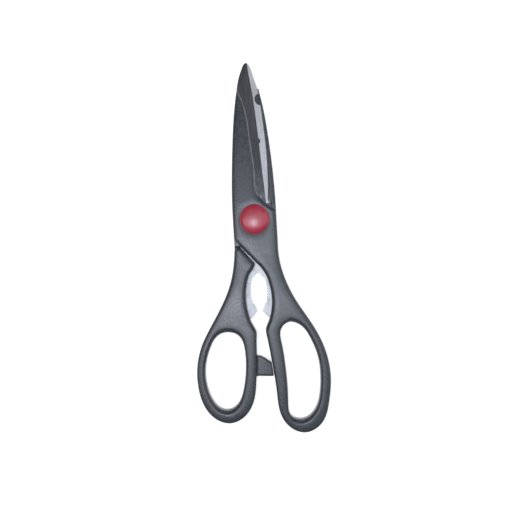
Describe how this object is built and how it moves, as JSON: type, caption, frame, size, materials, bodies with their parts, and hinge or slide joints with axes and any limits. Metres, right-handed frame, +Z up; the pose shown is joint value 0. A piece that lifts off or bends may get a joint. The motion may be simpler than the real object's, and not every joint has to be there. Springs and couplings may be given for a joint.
{
  "type": "shears",
  "caption": "Household shears with plastic-clad steel blades, offset thumb and finger loops, a toothed jaw between the shanks and a domed pivot cap.",
  "frame": {"origin": "on the pivot axis, at the flat face of the rear cap that the shears rest on", "axes": "+Z up along the pivot axis from the rear cap to the domed front cap, +Y towards the blade tips, +X towards the finger loop's side"},
  "size_m": [0.0777, 0.2166, 0.0131],
  "materials": {
    "blade_steel": "ground stainless steel, dark satin flats and a bright ground bevel",
    "handle_plastic": "moulded charcoal plastic with a fine matte texture",
    "hardware_steel": "zinc-plated steel",
    "cap_plastic": "glossy red moulded plastic"
  },
  "bodies": {
    "rear_half": {"rear_blade": "blade_steel", "rear_handle": "handle_plastic", "rear_cap": "cap_plastic"},
    "front_half": {"front_blade": "blade_steel", "front_handle": "handle_plastic", "front_cap": "cap_plastic", "pivot_bolt": "hardware_steel", "head_washer": "hardware_steel", "spring_washer": "hardware_steel", "pivot_nut": "hardware_steel"}
  },
  "joints": [
    {"name": "blade_pivot", "type": "hinge", "parent": "rear_half", "child": "front_half", "pos_m": [0, 0, 0.0056], "axis": [0, 0, 1], "range_deg": [0, 85]}
  ]
}
